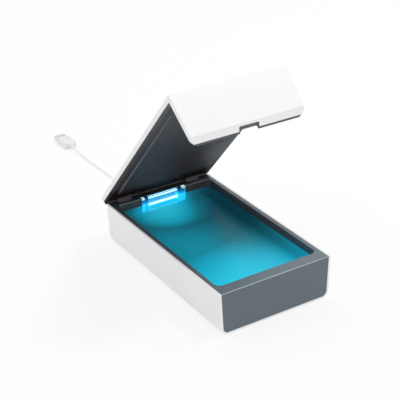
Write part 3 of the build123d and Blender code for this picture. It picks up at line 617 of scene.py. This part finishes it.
tube_path = [(tube_left, tube_y, tube_middle + bend_radius)]
for i in range(bend_points + 1):
    turn = pi / 2 - pi * i / bend_points
    tube_path.append((
        tube_bend + bend_radius * cos(turn), tube_y, tube_middle + bend_radius * sin(turn)
    ))
tube_path.append((tube_left, tube_y, tube_middle - bend_radius))


def drawn_tube(name, path, radius, finish):
    """A round tube along a list of points, closed at both ends, as a plain mesh."""
    curve = bpy.data.curves.new(name, "CURVE")
    curve.dimensions = "3D"
    curve.bevel_depth = radius
    curve.bevel_resolution = 6
    curve.use_fill_caps = True
    line = curve.splines.new("POLY")
    line.points.add(len(path) - 1)
    for point, place in zip(line.points, path):
        point.co = (*place, 1.0)
    carrier = placed(name, curve)
    mesh = plain_mesh(carrier)
    bpy.data.objects.remove(carrier)
    made = bmesh.new()
    made.from_mesh(mesh)
    bmesh.ops.remove_doubles(made, verts=made.verts, dist=weld_gap)
    bmesh.ops.recalc_face_normals(made, faces=made.faces)
    made.to_mesh(mesh)
    made.free()
    smoothed(mesh, least_turn=40)
    mesh.materials.clear()
    mesh.materials.append(finish)
    return placed(name, mesh)


lit_gas, gas_tree = new_finish(
    "lit_core", Base_Color=(0.75, 0.95, 1.0, 1), Emission_Strength=1.7
)
gas_glow = graded(
    gas_tree, along(gas_tree, "X", tube_left, tube_left + cool_end),
    (0.0, (0.25, 0.6, 1.0)),
    (1.0, (0.72, 0.95, 1.0)),
)
coat(gas_tree, Emission_Color=gas_glow)
quartz, quartz_tree = new_finish(
    "quartz", Base_Color=(0.70, 0.93, 1.0, 1), Roughness=0.03, IOR=1.2, Transmission_Weight=1.0
)
relief(quartz_tree, noise(quartz_tree, size=0.004, detail=1.0), depth=0.00001)
tubes = (("lamp_tube", tube_radius, quartz), ("lamp_core", core_radius, lit_gas))
for name, radius, finish in tubes:
    tube = drawn_tube(name, tube_path, radius, finish)
    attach(tube, "base")
    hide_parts("uv_lamp_tube")

silver, silver_tree = new_finish(
    "lamp_silver", Metallic=1.0, Base_Color=(0.78, 0.8, 0.83, 1)
)
uneven_gloss(silver_tree, size=0.003, detail=3.0, low=0.12, high=0.24)
dress("lamp_caps", silver)

# painted light and shade: the sheet glows with the tube's light, bright low down and dark at the
# top
sheet_finish, sheet_tree = new_finish("lamp_sheet", Roughness=0.3, Emission_Strength=0.7)
sheet_painted_glow = graded(
    sheet_tree, along(sheet_tree, "Z", cover_low.z, cover_high.z),
    (0.0, (0.008, 0.42, 0.58)),
    (0.25, (0.010, 0.48, 0.68)),
    (0.38, (0.060, 0.28, 0.48)),
    (0.68, (0.070, 0.28, 0.46)),
    (0.84, (0.010, 0.10, 0.25)),
    (0.9, (0.002, 0.02, 0.05)),
)
coat(sheet_tree, Base_Color=sheet_painted_glow, Emission_Color=sheet_painted_glow)
dress("lamp_reflector", sheet_finish)

# painted light and shade: the clips glow with the tube's light, in lighter and darker streaks and
# dark at the top
clip_blue, clip_tree = new_finish("lamp_clip_blue", Roughness=0.18)
clip_painted_glow = graded(
    clip_tree, along(clip_tree, "Z", cover_low.z, cover_high.z),
    (0.0, (0.012, 0.47, 0.74)),
    (0.45, (0.030, 0.58, 0.95)),
    (0.60, (0.010, 0.22, 0.50)),
    (0.78, (0.004, 0.09, 0.22)),
    (0.84, (0.004, 0.05, 0.12)),
    (0.90, (0.002, 0.02, 0.05)),
)
clip_glow_streaks = noise(clip_tree, size=0.0022, stretch=(1.0, 1.0, 0.25))
clip_glow_strength = spread(clip_tree, clip_glow_streaks, low=0.55, high=1.3)
coat(
    clip_tree,
    Base_Color=clip_painted_glow, Emission_Color=clip_painted_glow, Emission_Strength=clip_glow_strength,
)
# painted highlights: white glints on the outer ends of the clips' tops
for ends in ((-0.0245, -0.0208), (0.0208, 0.0245)):
    clip_painted_glint = within(clip_tree, x=ends, y=(0.0890, 0.0930), z=(0.0380, 0.0393))
    recoloured(clip_tree, clip_painted_glint, (0.8, 1.0, 1.0, 1), socket="Emission Color")
for side in ("left", "right"):
    eased_copy(
        "lamp_holder_" + side, "lamp_clip_" + side, clip_blue, rounding=0.0002
    )

window_clear, window_tree = new_finish(
    "window_clear",
    Base_Color=(0.80, 0.95, 1.0, 1), Roughness=0.02, IOR=1.15, Transmission_Weight=1.0,
)
relief(window_tree, noise(window_tree, size=0.01), depth=0.00001)
eased_copy("lamp_cover", "lamp_window", window_clear, rounding=0.0001)

# ------------------------------------------------------------------ electronics
# The circuit board with its sensor, switch and lamp driver, and the cord's terminal and clamp,
# all shut in under the well. Screws hold the board to its posts and the clamp to the board.
board_green, board_tree = new_finish("board_mask", Roughness=0.35)
board_tracks = noise(board_tree, size=0.0015, detail=1.0, stretch=(1, 0.15, 1))
board_colour = graded(
    board_tree, board_tracks,
    (0.48, (0.010, 0.11, 0.05)),
    (0.52, (0.022, 0.19, 0.085)),
)
coat(board_tree, Base_Color=board_colour)
relief(board_tree, board_tracks, depth=0.00003)
dress("main_board", board_green)
dress("reed_sensor", board_green)
ferrite = moulded(
    "driver_ferrite", (0.035, 0.032, 0.03), roughness=0.55, grain=0.0008, depth=0.00004
)
dress("lamp_driver", ferrite)
dress("cord_terminal", plug_white)
for node in ("cable_clamp", "button_switch", "switch_plunger"):
    dress(node, tie_nylon)

# ------------------------------------------------------------------ power button
# A white moulded cap in the rear wall beside the cord. A steel spring behind it pushes it out,
# and its stem meets the plunger of the switch on the board.
eased_copy(
    "power_button", "power_button_cap", shell_white,
    rounding=0.0001, body="button",
)
bright_steel, steel_tree = new_finish(
    "bright_steel", Metallic=1.0, Base_Color=(0.6, 0.6, 0.62, 1)
)
uneven_gloss(steel_tree, size=0.001, detail=4.0, low=0.22, high=0.4)
relief(steel_tree, noise(steel_tree, size=0.0005), depth=0.000004)
spring = eased_copy("button_spring", "button_spring_coil", bright_steel)
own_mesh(spring)

# ------------------------------------------------------------------ hinge
# Two steel pins, held in the lid's lugs, turn with a stiff fit in moulded bearing sleeves in
# the tray's ears.
acetal = moulded(
    "bearing_acetal", (0.70, 0.69, 0.64), roughness=0.3, grain=0.0005, depth=0.000008
)
dress("hinge_sleeves", acetal)
for side in ("left", "right"):
    dress("hinge_pin_" + side, bright_steel)

# ------------------------------------------------------------------ lid
# An L-shaped lid: a white outer moulding whose apron is bevelled along its lower edge, over
# a dark inner one with the hinge lugs, a raised panel and a finger notch. The inner one has
# painted shade, darkest over the lamp and by the hinge and lighter towards its far end, and
# painted highlights on its lugs, panel edges and right side.
eased_copy(
    "lid_shell", "lid_shell_moulding", shell_white, rounding=0.0003, body="lid"
)
liner_grey, liner_tree = new_finish("liner_grey", Specular_IOR_Level=0.02)
sparked(liner_tree, roughness=0.42, grain=0.0003, depth=0.00001)
panel_side = 0.0504           # half the width of the raised panel
panel_line = 0.0006           # half the width of the line of light along its sides
lug_place = 0.038             # from the middle to each hinge lug
lug_side = 0.0075             # half the width of a lug, with a little to spare
# painted shade and light: the liner darker by the hinge and lighter towards its far end
liner_painted_shading = graded(
    liner_tree, along(liner_tree, "Y", 0.095, -0.045),
    (0.0, (0.040, 0.040, 0.044)),
    (0.5, (0.062, 0.062, 0.068)),
    (1.0, (0.125, 0.127, 0.140)),
)
coat(liner_tree, Base_Color=liner_painted_shading)
# painted shade: the liner darker and warmer over the lamp
over_lamp_shade = near(liner_tree, centre=(-0.010, 0.070, 0.064), reach=0.080)
recoloured(liner_tree, over_lamp_shade, (0.062, 0.042, 0.042, 1))
# painted sheen: the liner lighter towards its right side
right_sheen = near(liner_tree, centre=(0.068, 0.055, 0.086), reach=0.060)
recoloured(liner_tree, right_sheen, (0.155, 0.158, 0.163, 1))
# painted highlights: lighter lines along the raised panel's sides
for middle in (-panel_side, panel_side):
    line = (middle - panel_line, middle + panel_line)
    panel_edge_highlight = within(liner_tree, x=line, y=(-0.0400, 0.1000), z=(0.0300, 0.1900))
    recoloured(liner_tree, panel_edge_highlight, (0.130, 0.136, 0.150, 1))
# painted shade: the liner nearly black next to the hinge
hinge_shade = along(liner_tree, "Y", 0.0790, 0.0870)
recoloured(liner_tree, hinge_shade, (0.016, 0.008, 0.008, 1))
# painted light: the hinge lugs lighter than the rest of the liner
for middle in (-lug_place, lug_place):
    lug = (middle - lug_side, middle + lug_side)
    lug_highlight = within(liner_tree, x=lug, y=(0.0880, 0.1010), z=(0.0300, 0.0450))
    recoloured(liner_tree, lug_highlight, (0.140, 0.140, 0.150, 1))
eased_copy(
    "lid_liner", "lid_liner_moulding", liner_grey, rounding=0.0003, body="lid"
)
dress("lid_magnet", plated)

# ------------------------------------------------------------------ feet and screws
# Four soft round rubber feet set into the underside, and steel cross-head screws: four from
# below that hold the tray, and those of the board and of the cord's clamp.
feet_low, feet_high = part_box("rubber_feet")
foot_radius = 0.005
hollow_radius = 0.0033        # of the shallow hollow that lets a foot grip
hollow_slope = 0.0002
hollow_depth = 0.00015
foot_edge = ((0.0005, 0), (0.0002, 0.0001), (0, 0.0003))      # its rounding, in and up


def turned(name, profile):
    """A shape turned about Z from (radius, height) points that run from pole to pole."""
    sides = 48
    turns = [2 * pi * i / sides for i in range(sides)]
    made = bmesh.new()
    rings = []
    for radius, height in profile:
        if radius == 0:
            rings.append([made.verts.new((0, 0, height))])
            continue
        rings.append([
            made.verts.new((radius * cos(turn), radius * sin(turn), height)) for turn in turns
        ])
    for lower, upper in zip(rings, rings[1:]):
        for i in range(sides):
            j = (i + 1) % sides
            corners = [
                lower[i % len(lower)], lower[j % len(lower)],
                upper[j % len(upper)], upper[i % len(upper)],
            ]
            made.faces.new(list(dict.fromkeys(corners)))
    bmesh.ops.recalc_face_normals(made, faces=made.faces)
    mesh = bpy.data.meshes.new(name)
    made.to_mesh(mesh)
    made.free()
    smoothed(mesh, least_turn=35)
    return placed(name, mesh)


foot_profile = [
    (0, feet_low.z + hollow_depth),
    (hollow_radius - hollow_slope, feet_low.z + hollow_depth),
    (hollow_radius, feet_low.z),
    *((foot_radius - inset, feet_low.z + rise) for inset, rise in foot_edge),
    (foot_radius, feet_high.z),
    (0, feet_high.z),
]
foot_shape = turned("foot_shape", foot_profile)
rubber = moulded(
    "foot_rubber", (0.09, 0.09, 0.095), roughness=0.75, grain=0.0005, depth=0.00003
)
foot_rows = (("feet_left", feet_low.x + foot_radius), ("feet_right", feet_high.x - foot_radius))
for name, x in foot_rows:
    start = (x, feet_low.y + foot_radius, 0)
    step = (0, feet_high.y - feet_low.y - 2 * foot_radius, 0)
    feet = row_of(name, foot_shape, 2, start, step, rubber)
    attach(feet, "base")
    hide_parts("rubber_feet")
bpy.data.objects.remove(foot_shape)
for node in ("bottom_screws", "board_screws", "clamp_screws"):
    dress(node, bright_steel)

# ------------------------------------------------------------------ table, light and world
# A white table that keeps the box's soft shadow, in even studio light from all round and one
# soft lamp high on the right.
floor_reach = 6.0
floor_share = 0.75            # how much of the table is plain white to the eye
world_light = 0.88
softbox_place = Vector((0.80, -0.16, 1.55))
softbox_aim = Vector((0, 0, 0.04))
floor_mesh = bpy.data.meshes.new("floor")
floor_mesh.from_pydata(
    [(x * floor_reach, y * floor_reach, table) for x, y in ((-1, -1), (1, -1), (1, 1), (-1, 1))],
    [],
    [(0, 1, 2, 3)],
)
floor = placed("floor", floor_mesh)
floor_white = bpy.data.materials.new("floor_white")
floor_white.use_nodes = True
floor_tree = floor_white.node_tree
floor_tree.nodes.remove(floor_tree.nodes["Principled BSDF"])


def seen_directly(tree):
    """1 for rays from the camera, a mirror or clear glass."""
    path = add_node(tree, "ShaderNodeLightPath").outputs
    mirrored = joined(tree, "MAXIMUM", path["Is Glossy Ray"], path["Is Transmission Ray"])
    return joined(tree, "MAXIMUM", path["Is Camera Ray"], mirrored)


plain = add_node(floor_tree, "ShaderNodeBsdfDiffuse", Color=(0.95, 0.95, 0.95, 1))
lit = add_node(floor_tree, "ShaderNodeEmission", Color=(1, 1, 1, 1), Strength=1.0)
mixed = add_node(
    floor_tree, "ShaderNodeMixShader",
    Fac=joined(floor_tree, "MULTIPLY", seen_directly(floor_tree), floor_share),
    in_1=plain.outputs["BSDF"], in_2=lit.outputs["Emission"],
)
floor_out = floor_tree.nodes["Material Output"]
plug_in(floor_tree, floor_out.inputs["Surface"], mixed.outputs["Shader"])
floor_mesh.materials.append(floor_white)

world = bpy.data.worlds.new("studio")
scene.world = world
world.use_nodes = True
world_tree = world.node_tree
backdrop = world_tree.nodes["Background"].inputs
backdrop_strength = mapped(world_tree, seen_directly(world_tree), 0.0, 1.0, world_light, 1.0)
plug_in(world_tree, backdrop["Color"], (1, 1, 1, 1))
plug_in(world_tree, backdrop["Strength"], backdrop_strength)

softbox_data = bpy.data.lights.new("overhead", "AREA")
softbox_data.shape = "SQUARE"
softbox_data.size = 0.25
softbox_data.energy = 5.5
softbox = placed("overhead", softbox_data)
softbox.location = softbox_place
softbox.rotation_euler = (softbox_aim - softbox_place).to_track_quat("-Z", "Y").to_euler()
scene.view_settings.view_transform = "Standard"
